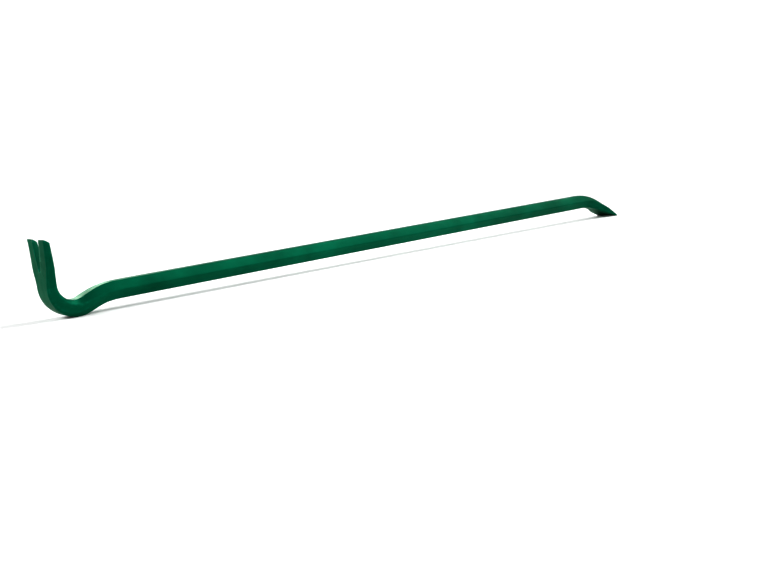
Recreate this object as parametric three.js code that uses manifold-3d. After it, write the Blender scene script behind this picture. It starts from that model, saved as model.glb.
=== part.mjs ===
// A gooseneck wrecking bar, or pry bar: one forging of hexagonal steel bar under green enamel.
// One end is flattened, split and turned up into a nail claw, and the other is drawn out into a chisel.
// Millimetres. +X runs along the shank from the claw to the chisel, and +Z is up. The bar lies at rest
// on the heel of its claw and on the chisel's edge, both at Z 0, with the middle of its length at X 0.
import * as THREE from "three";
import Module from "manifold-3d";
import { mergeVertices } from "three/addons/utils/BufferGeometryUtils.js";

const wasm = await Module();
wasm.setup();

// Driving dimensions.
const LENGTH = 900;
const HEX_FLATS = 19;

const CLAW = {
  lean: 2.6,
  length: 47,
  tipWidth: 39,
  middleWidth: 36.8,
  rootWidth: 26.8,
  tipThickness: 5.9,
  rootThickness: 10.4,
  bevelLength: 3.6,
  endThickness: 0.9,
};
const SLOT = { mouthWidth: 12.6, depth: 31, apexRadius: 1.8, wallLean: 37 };
const HEEL = { radius: 25, width: 22.4, middleThickness: 15, endThickness: 17.9, endFlatness: 0.32 };
const NECK = { rise: 21.6, length: 8.8, radius: 75 };
const CHISEL = {
  drop: 28.5,
  bendRadius: 84,
  length: 38,
  bendWidth: 25,
  middleWidth: 33.8,
  edgeWidth: 36.8,
  bendThickness: 12,
  bendFlatness: 0.7,
  edgeThickness: 1.8,
  groundLength: 18,
  groundThickness: 7.4,
};

// How the steel's edges are rounded, and how finely the shape is cut into flat facets.
const CORNER_RADIUS = 1.4;
const HEX_CORNER_FLAT = 0.9;
const FLAT_EDGE_CHAMFER = 1.3;
const THIN_EDGE_SHARE = 0.2;
const LONGEST_REACH_SHARE = 0.4;
const CORNER_STEPS = 2;
const STEP_ALONG_BLADE = 3;
const STEP_ALONG_NECK = 5;
const STEP_ALONG_SHANK = 60;
const DEGREES_PER_STEP = 4;
const SLOT_END_STEPS = 8;

// How far the solid that cuts the nail slot stands out of the claw.
const SLOT_OVERRUN = 4;
const SLOT_BACK_OVERRUN = 1;

const ENAMEL_GREEN = 0x005f3c;
const ENAMEL_ROUGHNESS = 0.42;

const radians = THREE.MathUtils.degToRad;
const mix = THREE.MathUtils.lerp;

// The centreline in the XZ plane, as legs that follow on from each other: straight ones and arcs.
const straight = (length, step) => ({
  length,
  turn: 0,
  steps: Math.ceil(length / step),
});
const bend = (radius, degrees) => ({
  length: radius * Math.abs(radians(degrees)),
  turn: radians(degrees),
  steps: Math.ceil(Math.abs(degrees) / DEGREES_PER_STEP),
});

function centreline(shankLength) {
  const legs = {
    claw: straight(CLAW.length, STEP_ALONG_BLADE),
    heel: bend(HEEL.radius, 90 - CLAW.lean + NECK.rise),
    neck: straight(NECK.length, STEP_ALONG_NECK),
    neckBend: bend(NECK.radius, -NECK.rise),
    shank: straight(shankLength, STEP_ALONG_SHANK),
    chiselBend: bend(CHISEL.bendRadius, -CHISEL.drop),
    chisel: straight(CHISEL.length, STEP_ALONG_BLADE),
  };
  const stations = [{ along: 0, x: 0, z: 0, heading: radians(CLAW.lean - 90) }];
  const ends = {};
  for (const [name, leg] of Object.entries(legs)) {
    for (let step = 0; step < leg.steps; step++) {
      const last = stations.at(-1);
      const turn = leg.turn / leg.steps;
      const stride = leg.length / leg.steps;
      const chord = turn === 0 ? stride : stride * (Math.sin(turn / 2) / (turn / 2));
      const aim = last.heading + turn / 2;
      stations.push({
        along: last.along + stride,
        x: last.x + chord * Math.cos(aim),
        z: last.z + chord * Math.sin(aim),
        heading: last.heading + turn,
      });
    }
    ends[name] = stations.at(-1).along;
  }
  return { stations, ends };
}

// A smooth curve through the given [at, value] pairs that never overshoots them.
function curveThrough(pairs) {
  const slopes = pairs.slice(1).map(([at, value], i) => (value - pairs[i][1]) / (at - pairs[i][0]));
  const tangents = pairs.map((_, i) => {
    const before = slopes[Math.max(i - 1, 0)];
    const after = slopes[Math.min(i, slopes.length - 1)];
    return before * after <= 0 ? 0 : (2 * before * after) / (before + after);
  });
  return (at) => {
    let i = 0;
    while (i < slopes.length - 1 && at > pairs[i + 1][0]) i++;
    const span = pairs[i + 1][0] - pairs[i][0];
    const t = THREE.MathUtils.clamp((at - pairs[i][0]) / span, 0, 1);
    const rest = 1 - t;
    return (
      rest * rest * (1 + 2 * t) * pairs[i][1] +
      t * rest * rest * span * tangents[i] +
      t * t * (3 - 2 * t) * pairs[i + 1][1] -
      t * t * rest * span * tangents[i + 1]
    );
  };
}

// How wide, how thick and how flat the bar is at each point along its centreline.
// flatness is 0 where the section is the plain hexagon and 1 where it is a flat blade.
function sectionCurves(ends) {
  const total = ends.chisel;
  const hexWidth = HEX_FLATS / Math.cos(Math.PI / 6) - HEX_CORNER_FLAT / Math.tan(Math.PI / 3);
  const middleOfHeel = mix(ends.claw, ends.heel, 0.5);
  const width = curveThrough([
    [0, CLAW.tipWidth],
    [CLAW.length / 2, CLAW.middleWidth],
    [ends.claw, CLAW.rootWidth],
    [ends.heel, HEEL.width],
    [ends.neckBend, hexWidth],
    [ends.shank, hexWidth],
    [ends.chiselBend, CHISEL.bendWidth],
    [total - CHISEL.length / 2, CHISEL.middleWidth],
    [total, CHISEL.edgeWidth],
  ]);
  const thickness = curveThrough([
    [0, CLAW.tipThickness],
    [ends.claw, CLAW.rootThickness],
    [middleOfHeel, HEEL.middleThickness],
    [ends.heel, HEEL.endThickness],
    [ends.neckBend, HEX_FLATS],
    [ends.shank, HEX_FLATS],
    [ends.chiselBend, CHISEL.bendThickness],
    [total - CHISEL.groundLength, CHISEL.groundThickness],
    [total, CHISEL.edgeThickness],
  ]);
  const flatness = curveThrough([
    [0, 1],
    [ends.claw, 1],
    [ends.heel, HEEL.endFlatness],
    [ends.neckBend, 0],
    [ends.shank, 0],
    [ends.chiselBend, CHISEL.bendFlatness],
    [total - CHISEL.groundLength, 1],
    [total, 1],
  ]);
  return { width, thickness, flatness };
}

// How much the bevel at the claw's tips takes off its inner side.
function bevelDepth(along) {
  const share = Math.max(0, 1 - along / CLAW.bevelLength);
  return share * (CLAW.tipThickness - CLAW.endThickness);
}

// One section of the bar: a ring of points [y, n], where n is how far the point is to the left of
// the centreline as it is walked. That is the inner side of the claw and the top of the shank.
function sectionRing(width, thickness, flatness) {
  const chamfer = Math.min(FLAT_EDGE_CHAMFER, THIN_EDGE_SHARE * thickness);
  const flatWidth = mix(width / 2, width - 2 * chamfer, flatness);
  const sideHeight = mix(HEX_CORNER_FLAT, thickness - 2 * chamfer, flatness);
  const corners = [
    [width, sideHeight],
    [flatWidth, thickness],
    [-flatWidth, thickness],
    [-width, sideHeight],
    [-width, -sideHeight],
    [-flatWidth, -thickness],
    [flatWidth, -thickness],
    [width, -sideHeight],
  ].map(([y, n]) => new THREE.Vector2(y / 2, n / 2));
  return corners.flatMap((corner, i) => {
    const previous = corners.at(i - 1);
    const next = corners[(i + 1) % corners.length];
    const shortest = Math.min(corner.distanceTo(previous), corner.distanceTo(next));
    const reach = Math.min(CORNER_RADIUS, LONGEST_REACH_SHARE * shortest);
    const start = corner.clone().add(previous.clone().sub(corner).setLength(reach));
    const end = corner.clone().add(next.clone().sub(corner).setLength(reach));
    return new THREE.QuadraticBezierCurve(start, corner, end).getPoints(CORNER_STEPS);
  });
}

// The point y across the bar and n to the left of its centreline, at a station on it.
function pointBeside({ x, z, heading }, y, n) {
  return [x - n * Math.sin(heading), y, z + n * Math.cos(heading)];
}

// The bar's skin: a ring of points at each station, joined ring to ring, with a fan over each end.
function barGeometry({ stations, ends }) {
  const { width, thickness, flatness } = sectionCurves(ends);
  const rings = stations.map((station) => {
    const { along } = station;
    const bevel = bevelDepth(along);
    const ring = sectionRing(width(along), thickness(along) - bevel, flatness(along));
    return ring.map(({ x: y, y: n }) => pointBeside(station, y, n - bevel / 2));
  });
  return loft(rings);
}

// A closed surface: the rings joined one to the next, with a fan of faces over each end.
function loft(rings) {
  const count = rings[0].length;
  const middleOf = (ring) => [0, 1, 2].map((axis) => ring.reduce((sum, p) => sum + p[axis], 0) / count);
  const points = [...rings.flat(), middleOf(rings[0]), middleOf(rings.at(-1))];
  const startMiddle = points.length - 2;
  const endMiddle = points.length - 1;
  const lastRing = count * (rings.length - 1);
  const faces = [];
  for (let side = 0; side < count; side++) {
    const beside = (side + 1) % count;
    faces.push([startMiddle, beside, side]);
    faces.push([endMiddle, lastRing + side, lastRing + beside]);
    for (let ring = 0; ring < lastRing; ring += count) {
      faces.push([ring + side, ring + beside, ring + count + side]);
      faces.push([ring + beside, ring + count + beside, ring + count + side]);
    }
  }
  const geometry = new THREE.BufferGeometry();
  geometry.setAttribute("position", new THREE.Float32BufferAttribute(points.flat(), 3));
  geometry.setIndex(faces.flat());
  return geometry;
}

// The nail slot in the claw, as the solid that is cut away: a V with a round end, whose walls lean
// apart towards the claw's inner side.
function slotGeometry({ stations, ends }) {
  const { thickness } = sectionCurves(ends);
  const halfAngle = Math.atan((SLOT.mouthWidth / 2 - SLOT.apexRadius) / SLOT.depth);
  const roundCentre = SLOT.depth - SLOT.apexRadius;
  const halfTurn = Math.PI / 2 - halfAngle;
  const mouthReach = SLOT.mouthWidth / 2 + SLOT_OVERRUN * Math.tan(halfAngle);
  const outlineGrownBy = (growth) => {
    const radius = SLOT.apexRadius + growth;
    const round = new THREE.EllipseCurve(roundCentre, 0, radius, radius, -halfTurn, halfTurn);
    const reach = mouthReach + growth / Math.cos(halfAngle);
    const sides = [-reach, reach].map((y) => new THREE.Vector2(-SLOT_OVERRUN, y));
    return [sides[0], ...round.getPoints(SLOT_END_STEPS), sides[1]];
  };
  const tip = stations[0];
  const ringAt = (heightOverBack) => {
    const growth = heightOverBack * Math.tan(radians(SLOT.wallLean));
    return outlineGrownBy(growth).map(({ x: along, y }) => {
      const station = {
        x: tip.x + along * Math.cos(tip.heading),
        z: tip.z + along * Math.sin(tip.heading),
        heading: tip.heading,
      };
      return pointBeside(station, y, heightOverBack - thickness(along) / 2);
    });
  };
  return loft([ringAt(-SLOT_BACK_OVERRUN), ringAt(HEX_FLATS)]);
}

function solidOf(geometry) {
  const bare = new THREE.BufferGeometry();
  bare.setAttribute("position", geometry.getAttribute("position"));
  bare.setIndex(geometry.getIndex());
  const merged = mergeVertices(bare, 1e-5);
  const mesh = new wasm.Mesh({
    numProp: 3,
    vertProperties: new Float32Array(merged.getAttribute("position").array),
    triVerts: new Uint32Array(merged.getIndex().array),
  });
  return new wasm.Manifold(mesh);
}

function geometryOf(solid) {
  const mesh = solid.getMesh();
  const geometry = new THREE.BufferGeometry();
  geometry.setAttribute("position", new THREE.BufferAttribute(mesh.vertProperties, 3));
  geometry.setIndex(new THREE.BufferAttribute(mesh.triVerts, 1));
  return geometry;
}

// Turns the bar about Y until the underside of the claw's heel and the chisel's edge are level,
// then stands it on Z 0 with the middle of its length at X 0.
function layAtRest(geometry) {
  const vertices = geometry.getAttribute("position");
  const points = Array.from({ length: vertices.count }, (_, i) =>
    new THREE.Vector3().fromBufferAttribute(vertices, i),
  );
  const half = LENGTH / 2;
  const edge = points.reduce((lowest, p) => (p.x > half && p.z < lowest.z ? p : lowest), points[0]);
  const slopes = points.filter((p) => p.x < half).map((p) => (edge.z - p.z) / (edge.x - p.x));
  geometry.rotateY(Math.atan(Math.max(...slopes)));
  geometry.computeBoundingBox();
  const { min, max } = geometry.boundingBox;
  return geometry.translate(-(min.x + max.x) / 2, 0, -min.z);
}

// The shank is as long as it takes to make the whole bar LENGTH long.
function forgedBar() {
  const trialShank = LENGTH / 2;
  const trialBar = barGeometry(centreline(trialShank));
  trialBar.computeBoundingBox();
  const { min, max } = trialBar.boundingBox;
  const path = centreline(trialShank + LENGTH - (max.x - min.x));
  const bar = solidOf(barGeometry(path)).subtract(solidOf(slotGeometry(path)));
  return layAtRest(geometryOf(bar));
}

const enamelledSteel = new THREE.MeshStandardMaterial({
  color: ENAMEL_GREEN,
  roughness: ENAMEL_ROUGHNESS,
  metalness: 0,
});

const pryBar = new THREE.Mesh(forgedBar(), enamelledSteel);
pryBar.name = "pry_bar";

const part = new THREE.Group();
part.add(pryBar);

export default part;
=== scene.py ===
"""A gooseneck wrecking bar, forged from one length of hexagonal steel bar and enamelled green.

Metres, in the CAD frame: +X runs along the shank from the claw to the chisel, +Z is up, and the bar
lies at rest on the heel of its claw and on its chisel's edge, both at Z 0.
"""

import math

import bmesh
import bpy
from mathutils import Matrix, Vector, noise


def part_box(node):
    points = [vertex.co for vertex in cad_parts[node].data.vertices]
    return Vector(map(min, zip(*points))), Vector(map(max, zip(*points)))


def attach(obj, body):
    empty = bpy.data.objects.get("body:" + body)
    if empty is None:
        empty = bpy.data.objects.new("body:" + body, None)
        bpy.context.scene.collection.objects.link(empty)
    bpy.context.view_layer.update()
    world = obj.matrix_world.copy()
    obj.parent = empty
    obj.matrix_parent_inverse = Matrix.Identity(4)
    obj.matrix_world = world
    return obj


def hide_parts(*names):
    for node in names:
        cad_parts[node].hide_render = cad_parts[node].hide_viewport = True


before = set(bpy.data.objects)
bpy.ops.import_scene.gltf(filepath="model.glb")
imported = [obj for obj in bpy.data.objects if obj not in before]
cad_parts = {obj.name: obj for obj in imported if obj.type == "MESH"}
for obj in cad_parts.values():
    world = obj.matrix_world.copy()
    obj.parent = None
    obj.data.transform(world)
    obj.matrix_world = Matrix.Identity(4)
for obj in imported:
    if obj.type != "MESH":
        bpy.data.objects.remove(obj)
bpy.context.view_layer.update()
scene = bpy.context.scene

MM = 0.001

# The forging's driving dimensions, the same as the CAD part's.
BAR_LENGTH = 900 * MM
HEX_FLATS = 19 * MM

CLAW_LEAN = 2.6
CLAW_LENGTH = 47 * MM
CLAW_TIP_WIDTH = 39 * MM
CLAW_MIDDLE_WIDTH = 36.8 * MM
CLAW_ROOT_WIDTH = 26.8 * MM
CLAW_TIP_THICKNESS = 5.9 * MM
CLAW_ROOT_THICKNESS = 10.4 * MM
CLAW_BEVEL_LENGTH = 3.6 * MM
CLAW_END_THICKNESS = 0.9 * MM
CLAW_CORNER_RADIUS = 1.1 * MM
CLAW_END_ROUNDING = 0.33 * MM

SLOT_MOUTH_WIDTH = 12.6 * MM
SLOT_DEPTH = 31 * MM
SLOT_APEX_RADIUS = 1.8 * MM
SLOT_WALL_LEAN = 37
SLOT_BACK_ROUNDING = 0.3 * MM
SLOT_INNER_ROUNDING = 0.8 * MM
SLOT_CORNER_RADIUS = 0.8 * MM
SLOT_STEPS = 12

# The solid that cuts the slot: how far it stands out past the claw's tips and past its two faces, and
# how many degrees short of a face each rounded edge stops.
SLOT_TIP_OVERRUN = 4 * SLOT_CORNER_RADIUS
SLOT_FACE_OVERRUN = 4 * MM
SLOT_FACE_ANGLE = 25

HEEL_RADIUS = 25 * MM
HEEL_WIDTH = 22.4 * MM
HEEL_MIDDLE_THICKNESS = 15 * MM
HEEL_END_THICKNESS = 17.9 * MM
HEEL_END_FLATNESS = 0.32

NECK_RISE = 21.6
NECK_LENGTH = 8.8 * MM
NECK_RADIUS = 75 * MM

CHISEL_DROP = 28.5
CHISEL_BEND_RADIUS = 84 * MM
CHISEL_LENGTH = 38 * MM
CHISEL_BEND_WIDTH = 25 * MM
CHISEL_MIDDLE_WIDTH = 33.8 * MM
CHISEL_EDGE_WIDTH = 36.8 * MM
CHISEL_BEND_THICKNESS = 12 * MM
CHISEL_BEND_FLATNESS = 0.7
CHISEL_EDGE_THICKNESS = 1.8 * MM
CHISEL_GROUND_LENGTH = 18 * MM
CHISEL_GROUND_THICKNESS = 7.4 * MM
CHISEL_CORNER_RADIUS = 2.2 * MM
CHISEL_EDGE_ROUNDING = 0.7 * MM

# How the bar's long edges are rounded.
EDGE_REACH = 1.3 * MM
HEX_CORNER_FLAT = 0.9 * MM
FLAT_EDGE_CHAMFER = 1.3 * MM
THIN_EDGE_SHARE = 0.2
LONGEST_REACH_SHARE = 0.42

# How finely the mesh is cut: along the bar, around its edges and across its flats.
FINE_STEP = 1.25 * MM
SHANK_STEP = 12 * MM
DEGREES_PER_STEP = 1.5
ARC_STEPS = 4
WIDE_STEPS = 8
SLANT_STEPS = 4
SIDE_STEPS = 2
END_SPACING = (0.012, 0.05, 0.14, 0.3, 0.55)

# The hammered unevenness of the two forged ends, and the trace of it left on the rolled shank.
HAMMER_DEPTH = 0.22 * MM
HAMMER_SPACING = 13 * MM
SHANK_UNEVENNESS = 0.12
HAMMER_FINE_DEPTH = 0.35
HAMMER_FINENESS = 2.7
HAMMER_FINE_SHIFT = Vector((7, 3, 5))
SLOT_CLEARANCE = 1.5 * HAMMER_DEPTH

# Where the surface counts as an edge: how sharply it turns for each millimetre across it.
SHORTEST_TURN = 0.3 * MM
EDGE_GAIN = 2
EDGE_THRESHOLD = 0.1
SHARP_ANGLE = 35

# The enamel: where it is deepest, where it is lightest, and the paler green along the rounded edges, where
# the enamel is thinned and a highlight is painted in.
ENAMEL_DEEP = (0, 0.058, 0.031, 1)
ENAMEL_LIGHT = (0, 0.088, 0.048, 1)
ENAMEL_THIN_EDGE_HIGHLIGHT = (0.004, 0.150, 0.088, 1)
ENAMEL_METALLIC = 0.16

# The enamel's clear reflection. Real enamel reflects more, and without a tint. It is kept weak and green
# here, so that the white studio leaves no grey cast on the bar.
ENAMEL_REFLECTION = 0.04
ENAMEL_REFLECTION_TINT = (0.0, 1.0, 0.5, 1)

# The enamel's unevenness, in waves per metre, and how far each kind goes.
DEPTH_WAVES = 24
MOTTLE_WAVES = 170
MOTTLE_RANGE = (0.86, 1.14)
# Patches along the rounded edges where the enamel is thinned and painted paler, as a highlight.
THIN_EDGE_HIGHLIGHT_PATCH_WAVES = 260
ROUGHNESS_WAVES = 90
ROUGHNESS_RANGE = (0.34, 0.46)
POLISH_WAVES = 300
EDGE_POLISH = 0.08
DENT_WAVES = 110
DENT_DEPTH = 0.12 * MM
PEEL_WAVES = 650
PEEL_DEPTH = 0.03 * MM
BUMP_STRENGTH = 0.6
NOISE_LOW = 0.3
NOISE_HIGH = 0.7

# The camera: where it stands from the middle of the bar, and how it is turned, in degrees.
CAMERA_PLACE = Vector((-825.5, -921.9, 151.4)) * MM
CAMERA_YAW = 41.29
CAMERA_DOWN = 8.86
CAMERA_ROLL = -4.58
CAMERA_LENS = 46.47
SENSOR_WIDTH = 36

FLOOR_RADIUS = 40
FLOOR_WHITENESS = 0.9
SOFTBOX_ANGLE = 25
BACKDROP_LIGHT = 0.8
BACKDROP_TOP = 0.25
CEILING_LIGHT = 0.05
CEILING_START = 0.4


def add_camera():
    yaw, down, roll = (math.radians(a) for a in (CAMERA_YAW, CAMERA_DOWN, CAMERA_ROLL))
    upright = Matrix.Rotation(math.pi / 2 - down, 4, "X")
    turned = Matrix.Rotation(-yaw, 4, "Z") @ upright @ Matrix.Rotation(roll, 4, "Z")
    data = bpy.data.cameras.new("camera")
    data.lens = CAMERA_LENS
    data.sensor_width = SENSOR_WIDTH
    data.clip_end = 50
    camera = bpy.data.objects.new("camera", data)
    camera.matrix_world = Matrix.Translation(CAMERA_PLACE) @ turned
    scene.collection.objects.link(camera)
    scene.camera = camera


# --- The forging ---------------------------------------------------------------------------------


def centreline(shank_length):
    """Stations along the bar's centreline, in the XZ plane, and how far along each leg ends."""
    legs = (
        ("claw", CLAW_LENGTH, 0, FINE_STEP),
        ("heel", HEEL_RADIUS, 90 - CLAW_LEAN + NECK_RISE, None),
        ("neck", NECK_LENGTH, 0, FINE_STEP),
        ("neck_bend", NECK_RADIUS, -NECK_RISE, None),
        ("shank", shank_length, 0, SHANK_STEP),
        ("chisel_bend", CHISEL_BEND_RADIUS, -CHISEL_DROP, None),
        ("chisel", CHISEL_LENGTH, 0, FINE_STEP),
    )
    along, x, z, heading = 0.0, 0.0, 0.0, math.radians(CLAW_LEAN - 90)
    stations = [(along, x, z, heading)]
    ends = {}
    for name, size, degrees, step in legs:
        turn = math.radians(degrees)
        length = size * abs(turn) if degrees else size
        count = math.ceil(abs(degrees) / DEGREES_PER_STEP) if degrees else math.ceil(length / step)
        stride = length / count
        bend = turn / count
        chord = stride * math.sin(bend / 2) / (bend / 2) if bend else stride
        for _ in range(count):
            aim = heading + bend / 2
            x += chord * math.cos(aim)
            z += chord * math.sin(aim)
            along += stride
            heading += bend
            stations.append((along, x, z, heading))
        ends[name] = along
    return stations, ends


def curve_through(*pairs):
    """A smooth curve through the given (at, value) pairs that never overshoots them."""
    slopes = [(v1 - v0) / (a1 - a0) for (a0, v0), (a1, v1) in zip(pairs, pairs[1:])]
    around = zip([slopes[0], *slopes], [*slopes, slopes[-1]])
    tangents = [2 * a * b / (a + b) if a * b > 0 else 0 for a, b in around]

    def value(at):
        i = 0
        while i < len(slopes) - 1 and at > pairs[i + 1][0]:
            i += 1
        (a0, v0), (a1, v1) = pairs[i], pairs[i + 1]
        t = min(max((at - a0) / (a1 - a0), 0), 1)
        rest = 1 - t
        lift = t * rest * (a1 - a0) * (rest * tangents[i] - t * tangents[i + 1])
        return rest * rest * (1 + 2 * t) * v0 + t * t * (3 - 2 * t) * v1 + lift

    return value


def section_curves(ends):
    """Width, thickness and flatness along the bar: 0 is the plain hexagon and 1 is a flat blade."""
    total = ends["chisel"]
    ground = total - CHISEL_GROUND_LENGTH
    middle_of_heel = (ends["claw"] + ends["heel"]) / 2
    hex_width = HEX_FLATS / math.cos(math.pi / 6) - HEX_CORNER_FLAT / math.tan(math.pi / 3)
    width = curve_through(
        (0, CLAW_TIP_WIDTH),
        (CLAW_LENGTH / 2, CLAW_MIDDLE_WIDTH),
        (ends["claw"], CLAW_ROOT_WIDTH),
        (ends["heel"], HEEL_WIDTH),
        (ends["neck_bend"], hex_width),
        (ends["shank"], hex_width),
        (ends["chisel_bend"], CHISEL_BEND_WIDTH),
        (total - CHISEL_LENGTH / 2, CHISEL_MIDDLE_WIDTH),
        (total, CHISEL_EDGE_WIDTH),
    )
    thickness = curve_through(
        (0, CLAW_TIP_THICKNESS),
        (ends["claw"], CLAW_ROOT_THICKNESS),
        (middle_of_heel, HEEL_MIDDLE_THICKNESS),
        (ends["heel"], HEEL_END_THICKNESS),
        (ends["neck_bend"], HEX_FLATS),
        (ends["shank"], HEX_FLATS),
        (ends["chisel_bend"], CHISEL_BEND_THICKNESS),
        (ground, CHISEL_GROUND_THICKNESS),
        (total, CHISEL_EDGE_THICKNESS),
    )
    flatness = curve_through(
        (0, 1),
        (ends["claw"], 1),
        (ends["heel"], HEEL_END_FLATNESS),
        (ends["neck_bend"], 0),
        (ends["shank"], 0),
        (ends["chisel_bend"], CHISEL_BEND_FLATNESS),
        (ground, 1),
        (total, 1),
    )
    return width, thickness, flatness


def corner_inset(distance, radius):
    """How far a round corner of that radius pulls in, at that distance from the end it turns to."""
    left = max(radius - distance, 0)
    return radius - math.sqrt(max(radius * radius - left * left, 0))


def bevel_depth(along):
    """How much the bevel at the claw's tips takes off its inner side."""
    share = max(1 - along / CLAW_BEVEL_LENGTH, 0)
    return min(share, 1) * (CLAW_TIP_THICKNESS - CLAW_END_THICKNESS)


def section_ring(width, thickness, flatness):
    """One section of the bar, as points (y, n). n is how far a point lies to the left of the
    centreline as it is walked: towards the claw's inner side and the shank's top."""
    chamfer = min(FLAT_EDGE_CHAMFER, THIN_EDGE_SHARE * thickness)
    flat_width = width / 2 + flatness * (width / 2 - 2 * chamfer)
    side_height = HEX_CORNER_FLAT + flatness * (thickness - 2 * chamfer - HEX_CORNER_FLAT)
    corners = [
        Vector((width, side_height)) / 2,
        Vector((flat_width, thickness)) / 2,
        Vector((-flat_width, thickness)) / 2,
        Vector((-width, side_height)) / 2,
        Vector((-width, -side_height)) / 2,
        Vector((-flat_width, -thickness)) / 2,
        Vector((flat_width, -thickness)) / 2,
        Vector((width, -side_height)) / 2,
    ]
    steps = [SLANT_STEPS, WIDE_STEPS, SLANT_STEPS, SIDE_STEPS] * 2
    arcs = []
    for i, corner in enumerate(corners):
        to_last = corners[i - 1] - corner
        to_next = corners[(i + 1) % len(corners)] - corner
        reach = min(EDGE_REACH, LONGEST_REACH_SHARE * min(to_last.length, to_next.length))
        start = corner + to_last.normalized() * reach
        end = corner + to_next.normalized() * reach
        turns = [k / ARC_STEPS for k in range(ARC_STEPS + 1)]
        arcs.append([start.lerp(corner, t).lerp(corner.lerp(end, t), t) for t in turns])
    ring = []
    for arc, next_arc, count in zip(arcs, arcs[1:] + arcs[:1], steps):
        ring += arc
        ring += [arc[-1].lerp(next_arc[0], k / count) for k in range(1, count)]
    return ring


def bar_rings(stations, ends):
    """The rings of points that the bar's skin is stretched over, one at each station."""
    width_at, thickness_at, flatness_at = section_curves(ends)
    total = ends["chisel"]
    rings = []
    for along, x, z, heading in stations:
        to_end = total - along
        claw_corner = corner_inset(along, CLAW_CORNER_RADIUS)
        chisel_corner = corner_inset(to_end, CHISEL_CORNER_RADIUS)
        rounding = corner_inset(along, CLAW_END_ROUNDING) + corner_inset(to_end, CHISEL_EDGE_ROUNDING)
        bevel = bevel_depth(along)
        ring = section_ring(
            width_at(along) - 2 * (claw_corner + chisel_corner),
            thickness_at(along) - bevel - 2 * rounding,
            flatness_at(along),
        )
        left, up = -math.sin(heading), math.cos(heading)
        heights = [n - bevel / 2 for _, n in ring]
        rings.append([(x + n * left, y, z + n * up) for (y, _), n in zip(ring, heights)])
    return rings


def end_stations(stations, ends):
    """The stations with closer ones added at both ends, where the corners turn."""
    total = ends["chisel"]
    x0, z0, first_heading = stations[0][1:]
    x1, z1, last_heading = stations[-1][1:]
    claw_offsets = [CLAW_CORNER_RADIUS * share for share in END_SPACING]
    edge_offsets = [CHISEL_CORNER_RADIUS * share for share in reversed(END_SPACING)]
    at_claw = [
        (d, x0 + d * math.cos(first_heading), z0 + d * math.sin(first_heading), first_heading)
        for d in claw_offsets
    ]
    at_edge = [
        (total - d, x1 - d * math.cos(last_heading), z1 - d * math.sin(last_heading), last_heading)
        for d in edge_offsets
    ]
    return sorted(stations + at_claw + at_edge)


def skin(rings):
    """A closed mesh over the rings, with a fan of faces over each flat end."""
    made = bmesh.new()
    rows = [[made.verts.new(p) for p in ring] for ring in rings]
    for row, next_row in zip(rows, rows[1:]):
        bridge(made, row, next_row)
    for row in (rows[0], rows[-1]):
        middle = made.verts.new(sum((v.co for v in row), Vector()) / len(row))
        for i, vert in enumerate(row):
            made.faces.new((vert, row[i - 1], middle))
    bmesh.ops.recalc_face_normals(made, faces=made.faces)
    return made, rows


def bridge(made, row, next_row):
    for i, vert in enumerate(row):
        made.faces.new((vert, row[i - 1], next_row[i - 1], next_row[i]))


def hammer(rows, stations, ends):
    """Moves the skin in and out a little, most at the two forged ends."""
    shank_start, shank_end = ends["neck_bend"], ends["shank"]
    for row, (along, *_) in zip(rows, stations):
        into_shank = min(along - shank_start, shank_end - along) / HAMMER_SPACING
        forged = 1 - (1 - SHANK_UNEVENNESS) * min(max(into_shank, 0), 1)
        for vert in row:
            spot = vert.co / HAMMER_SPACING
            fine_spot = HAMMER_FINENESS * spot + HAMMER_FINE_SHIFT
            swell = noise.noise(spot) + HAMMER_FINE_DEPTH * noise.noise(fine_spot)
            vert.co += vert.normal * swell * forged * HAMMER_DEPTH


def slot_outline(growth_at):
    """The nail slot seen square on to the claw, as points (distance from the tips, how far to one
    side): a V with a round end, with its walls moved apart by growth_at(distance)."""
    half_mouth = SLOT_MOUTH_WIDTH / 2
    slope = math.atan((half_mouth - SLOT_APEX_RADIUS) / SLOT_DEPTH)
    round_centre = SLOT_DEPTH - SLOT_APEX_RADIUS
    run = SLOT_CORNER_RADIUS
    distances = [-SLOT_TIP_OVERRUN, 0, *(run * share for share in END_SPACING), run]
    distances += [run + (round_centre - run) * k / SLOT_STEPS for k in range(1, SLOT_STEPS)]
    side = []
    for distance in distances:
        wall = half_mouth - distance * math.tan(slope) + growth_at(distance) / math.cos(slope)
        side.append((distance, wall + corner_inset(max(distance, 0), run)))
    radius = SLOT_APEX_RADIUS + growth_at(round_centre)
    for k in range(SLOT_STEPS):
        angle = slope + (math.pi / 2 - slope) * k / SLOT_STEPS
        side.append((round_centre + radius * math.sin(angle), radius * math.cos(angle)))
    return side + [(round_centre + radius, 0)] + [(d, -across) for d, across in reversed(side)]


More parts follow.
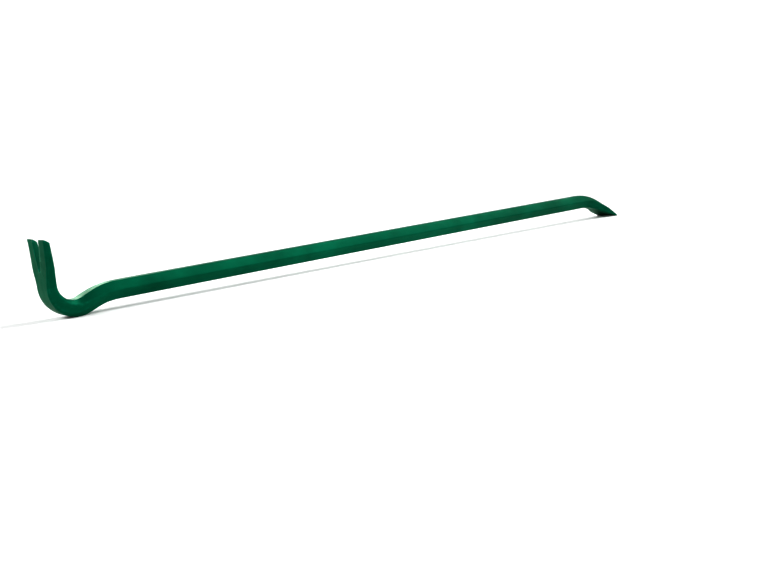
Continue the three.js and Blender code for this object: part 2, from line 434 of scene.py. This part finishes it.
def slot_wall():
    """The slot's wall in section. The two lists hold points (height over a face, how far the wall
    stands back): over the claw's back face, where the slot is narrowest, and over its inner face.
    Both edges are rounded, and beyond each face the wall leans out to clear the hammered skin."""
    lean = math.radians(SLOT_WALL_LEAN)
    clear, outside = SLOT_CLEARANCE, SLOT_FACE_OVERRUN

    radius = SLOT_BACK_ROUNDING
    centre = radius / math.tan((math.pi / 2 - lean) / 2)
    whole_turn = 90 - SLOT_FACE_ANGLE + SLOT_WALL_LEAN
    turns = [math.radians(SLOT_FACE_ANGLE + whole_turn * k / ARC_STEPS) for k in range(ARC_STEPS + 1)]
    over_back = [(radius * (1 - math.cos(t)), centre - radius * math.sin(t)) for t in turns]
    height, back = over_back[0]
    farthest = back + (height + clear) / math.tan(turns[0])
    over_back = [(-outside, farthest), (-clear, farthest)] + over_back

    radius = SLOT_INNER_ROUNDING
    centre = radius / math.tan((math.pi / 2 + lean) / 2)
    last_turn = math.radians(90 - SLOT_FACE_ANGLE)
    turns = [lean + (last_turn - lean) * k / ARC_STEPS for k in range(ARC_STEPS + 1)]
    over_inner = [(radius * (math.sin(t) - 1), centre - radius * math.cos(t)) for t in turns]
    height, back = over_inner[-1]
    farthest = back + (clear - height) * math.tan(turns[-1])
    over_inner += [(clear, farthest), (outside, farthest)]
    return over_back, over_inner


def slot_cutter(tip, thickness_at):
    """The solid that cuts the nail slot into the claw."""
    _, x, z, heading = tip
    origin = Vector((x, 0, z))
    forwards = Vector((math.cos(heading), 0, math.sin(heading)))
    inwards = Vector((-math.sin(heading), 0, math.cos(heading)))
    spread = math.tan(math.radians(SLOT_WALL_LEAN))

    def full_height(distance):
        return thickness_at(distance) - bevel_depth(distance)

    made = bmesh.new()
    rows = []

    def add_row(face, height, back):
        """A row of points over the claw's back face, where face is 0, or its inner face, where it is 1."""

        def growth_at(distance):
            return back + face * full_height(distance) * spread

        row = []
        for distance, across in slot_outline(growth_at):
            over_middle = face * full_height(distance) + height - thickness_at(distance) / 2
            spot = origin + forwards * distance + inwards * over_middle
            row.append(made.verts.new(spot + Vector((0, across, 0))))
        rows.append(row)

    over_back, over_inner = slot_wall()
    for height, back in over_back:
        add_row(0, height, back)
    for height, back in over_inner:
        add_row(1, height, back)
    for row, next_row in zip(rows, rows[1:]):
        bridge(made, row, next_row)
    made.faces.new(rows[0])
    made.faces.new(rows[-1])
    bmesh.ops.recalc_face_normals(made, faces=made.faces)
    return made


def object_of(made, name):
    mesh = bpy.data.meshes.new(name)
    made.to_mesh(mesh)
    made.free()
    thing = bpy.data.objects.new(name, mesh)
    scene.collection.objects.link(thing)
    return thing


def cut(thing, cutter):
    """Takes cutter's solid away from thing's mesh, for good."""
    boolean = thing.modifiers.new("slot", "BOOLEAN")
    boolean.operation = "DIFFERENCE"
    boolean.solver = "EXACT"
    boolean.object = cutter
    depsgraph = bpy.context.evaluated_depsgraph_get()
    thing.data = bpy.data.meshes.new_from_object(thing.evaluated_get(depsgraph))
    thing.modifiers.clear()
    bpy.data.objects.remove(cutter)


def lay_at_rest(mesh):
    """Levels the heel with the chisel's edge, and puts the bar in the middle of its CAD box."""
    corners = [v.co for v in mesh.vertices]
    half = BAR_LENGTH / 2
    edge = min((p for p in corners if p.x > half), key=lambda p: p.z)
    slope = max((edge.z - p.z) / (edge.x - p.x) for p in corners if p.x < half)
    mesh.transform(Matrix.Rotation(math.atan(slope), 4, "Y"))
    low_x, high_x = (pick(v.co.x for v in mesh.vertices) for pick in (min, max))
    low_z = min(v.co.z for v in mesh.vertices)
    low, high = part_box("pry_bar")
    mesh.transform(Matrix.Translation(((low.x + high.x - low_x - high_x) / 2, 0, low.z - low_z)))


def note_edges(mesh):
    """Stores how sharply the surface turns at each point, 0 on a flat and 1 along a rounded edge."""
    made = bmesh.new()
    made.from_mesh(mesh)
    layer = made.verts.layers.float.new("edge")
    for vert in made.verts:
        turns = [e.calc_face_angle_signed(0) / max(e.calc_length(), SHORTEST_TURN) for e in vert.link_edges]
        turn = max(turns) * MM
        vert[layer] = min(max(EDGE_GAIN * turn - EDGE_THRESHOLD, 0), 1)
    made.to_mesh(mesh)
    made.free()


def forge_bar():
    trial_shank = BAR_LENGTH / 2
    trial_xs = [x for ring in bar_rings(*centreline(trial_shank)) for x, _, _ in ring]
    stations, ends = centreline(trial_shank + BAR_LENGTH - (max(trial_xs) - min(trial_xs)))
    stations = end_stations(stations, ends)
    made, rows = skin(bar_rings(stations, ends))
    made.normal_update()
    hammer(rows, stations, ends)
    bar = object_of(made, "forged_bar")
    _, thickness_at, _ = section_curves(ends)
    cut(bar, object_of(slot_cutter(stations[0], thickness_at), "slot_cutter"))
    lay_at_rest(bar.data)
    note_edges(bar.data)
    bar.data.shade_smooth()
    bar.data.set_sharp_from_angle(angle=math.radians(SHARP_ANGLE))
    return bar


# --- Green enamel --------------------------------------------------------------------------------


def noise_between(nodes, links, place, scale, detail, low, high):
    """A noise of so many waves per metre, spread over the range from low to high."""
    waves = nodes.new("ShaderNodeTexNoise")
    waves.inputs["Scale"].default_value = scale
    waves.inputs["Detail"].default_value = detail
    links.new(place, waves.inputs["Vector"])
    spread = nodes.new("ShaderNodeMapRange")
    spread.inputs["From Min"].default_value = NOISE_LOW
    spread.inputs["From Max"].default_value = NOISE_HIGH
    spread.inputs["To Min"].default_value = low
    spread.inputs["To Max"].default_value = high
    links.new(waves.outputs["Fac"], spread.inputs["Value"])
    return spread.outputs["Result"]


def combine(nodes, links, operation, first, second):
    node = nodes.new("ShaderNodeMath")
    node.operation = operation
    links.new(first, node.inputs[0])
    links.new(second, node.inputs[1])
    return node.outputs[0]


def colour_mix(nodes, links, share, low, high):
    """A mix of two colours, each given as numbers or as another node's output."""
    mix = nodes.new("ShaderNodeMix")
    mix.data_type = "RGBA"
    links.new(share, mix.inputs["Factor"])
    for socket, colour in ((mix.inputs["A"], low), (mix.inputs["B"], high)):
        if isinstance(colour, tuple):
            socket.default_value = colour
        else:
            links.new(colour, socket)
    return mix.outputs["Result"]


def bump(nodes, links, place, waves, depth):
    node = nodes.new("ShaderNodeBump")
    node.inputs["Distance"].default_value = depth
    node.inputs["Strength"].default_value = BUMP_STRENGTH
    links.new(noise_between(nodes, links, place, waves, 2, 0, 1), node.inputs["Height"])
    return node


def enamel_colour(nodes, links, place, edge):
    depth = noise_between(nodes, links, place, DEPTH_WAVES, 3, 0, 1)
    mottle = noise_between(nodes, links, place, MOTTLE_WAVES, 3, *MOTTLE_RANGE)
    body = combine(nodes, links, "MULTIPLY", depth, mottle)
    tone = colour_mix(nodes, links, body, ENAMEL_DEEP, ENAMEL_LIGHT)
    # In patches along the rounded edges the enamel turns a paler green: thinned enamel, and a painted
    # highlight.
    patchy = noise_between(nodes, links, place, THIN_EDGE_HIGHLIGHT_PATCH_WAVES, 4, 0, 1)
    thin_and_highlight = combine(nodes, links, "MULTIPLY", edge, patchy)
    return colour_mix(nodes, links, thin_and_highlight, tone, ENAMEL_THIN_EDGE_HIGHLIGHT)


def enamel_roughness(nodes, links, place, edge):
    rough = noise_between(nodes, links, place, ROUGHNESS_WAVES, 4, *ROUGHNESS_RANGE)
    polish = noise_between(nodes, links, place, POLISH_WAVES, 2, 0, EDGE_POLISH)
    return combine(nodes, links, "SUBTRACT", rough, combine(nodes, links, "MULTIPLY", edge, polish))


def green_enamel():
    """Semi-gloss enamel: uneven in depth, thinner and smoother along the rounded edges and painted paler
    there in patches as a highlight, with shallow dents and an orange peel in its surface."""
    material = bpy.data.materials.new("green_enamel")
    material.use_nodes = True
    nodes, links = material.node_tree.nodes, material.node_tree.links
    shader = nodes["Principled BSDF"]
    shader.inputs["Metallic"].default_value = ENAMEL_METALLIC
    shader.inputs["Specular IOR Level"].default_value = ENAMEL_REFLECTION
    shader.inputs["Specular Tint"].default_value = ENAMEL_REFLECTION_TINT
    place = nodes.new("ShaderNodeTexCoord").outputs["Object"]
    edge_layer = nodes.new("ShaderNodeAttribute")
    edge_layer.attribute_name = "edge"
    edge = edge_layer.outputs["Fac"]

    links.new(enamel_colour(nodes, links, place, edge), shader.inputs["Base Color"])
    links.new(enamel_roughness(nodes, links, place, edge), shader.inputs["Roughness"])
    dents = bump(nodes, links, place, DENT_WAVES, DENT_DEPTH)
    peel = bump(nodes, links, place, PEEL_WAVES, PEEL_DEPTH)
    links.new(dents.outputs["Normal"], peel.inputs["Normal"])
    links.new(peel.outputs["Normal"], shader.inputs["Normal"])
    return material


# --- The studio ----------------------------------------------------------------------------------


def add_floor():
    made = bmesh.new()
    bmesh.ops.create_circle(made, cap_ends=True, segments=96, radius=FLOOR_RADIUS)
    floor = object_of(made, "floor")
    material = bpy.data.materials.new("pale_floor")
    material.use_nodes = True
    shader = material.node_tree.nodes["Principled BSDF"]
    shader.inputs["Base Color"].default_value = (FLOOR_WHITENESS, FLOOR_WHITENESS, FLOOR_WHITENESS, 1)
    shader.inputs["Roughness"].default_value = 1
    shader.inputs["Specular IOR Level"].default_value = 0
    floor.data.materials.append(material)


def add_softbox(name, azimuth, elevation, power):
    """A large soft light, far enough away to light the whole bar evenly. Azimuth 0 is in front of the
    bar's -Y side, and 90 is towards +X."""
    turn, rise = math.radians(azimuth), math.radians(elevation)
    level = math.cos(rise)
    towards = Vector((level * math.sin(turn), -level * math.cos(turn), math.sin(rise)))
    light = bpy.data.lights.new(name, "SUN")
    light.angle = math.radians(SOFTBOX_ANGLE)
    light.energy = power * math.pi
    lamp = bpy.data.objects.new(name, light)
    lamp.rotation_euler = (-towards).to_track_quat("-Z", "Y").to_euler()
    scene.collection.objects.link(lamp)


def add_near_light(name, place, size, power):
    """A round lamp near the bar, aimed at the middle of the bar's underside."""
    light = bpy.data.lights.new(name, "AREA")
    light.shape = "DISK"
    light.size = size
    light.energy = power
    lamp = bpy.data.objects.new(name, light)
    lamp.location = place
    lamp.rotation_euler = (-Vector(place)).to_track_quat("-Z", "Y").to_euler()
    scene.collection.objects.link(lamp)


def add_backdrop():
    """A white backdrop all round, which the floor runs into without an edge, under a dim ceiling."""
    world = bpy.data.worlds.new("studio")
    scene.world = world
    world.use_nodes = True
    nodes, links = world.node_tree.nodes, world.node_tree.links
    split = nodes.new("ShaderNodeSeparateXYZ")
    links.new(nodes.new("ShaderNodeTexCoord").outputs["Generated"], split.inputs[0])
    fade = nodes.new("ShaderNodeMapRange")
    fade.inputs["From Min"].default_value = BACKDROP_TOP
    fade.inputs["From Max"].default_value = CEILING_START
    fade.inputs["To Min"].default_value = BACKDROP_LIGHT
    fade.inputs["To Max"].default_value = CEILING_LIGHT
    links.new(split.outputs["Z"], fade.inputs["Value"])
    links.new(fade.outputs["Result"], nodes["Background"].inputs["Strength"])
    nodes["Background"].inputs["Color"].default_value = (1, 1, 1, 1)


add_camera()
scene.view_settings.view_transform = "Standard"
scene.view_settings.look = "High Contrast"

bar = forge_bar()
bar.data.materials.append(green_enamel())
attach(bar, "root")
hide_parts("pry_bar")

add_floor()
add_backdrop()
add_softbox("left_softbox", azimuth=255, elevation=45, power=0.56)
add_softbox("right_softbox", azimuth=72, elevation=42, power=0.40)
add_softbox("rim_softbox", azimuth=165, elevation=24, power=0.32)
add_near_light("overhead_light", place=(0.05, -0.2, 0.5), size=0.4, power=1.9)
add_near_light("front_light", place=(-0.1, -0.9, 0.35), size=0.5, power=1.5)
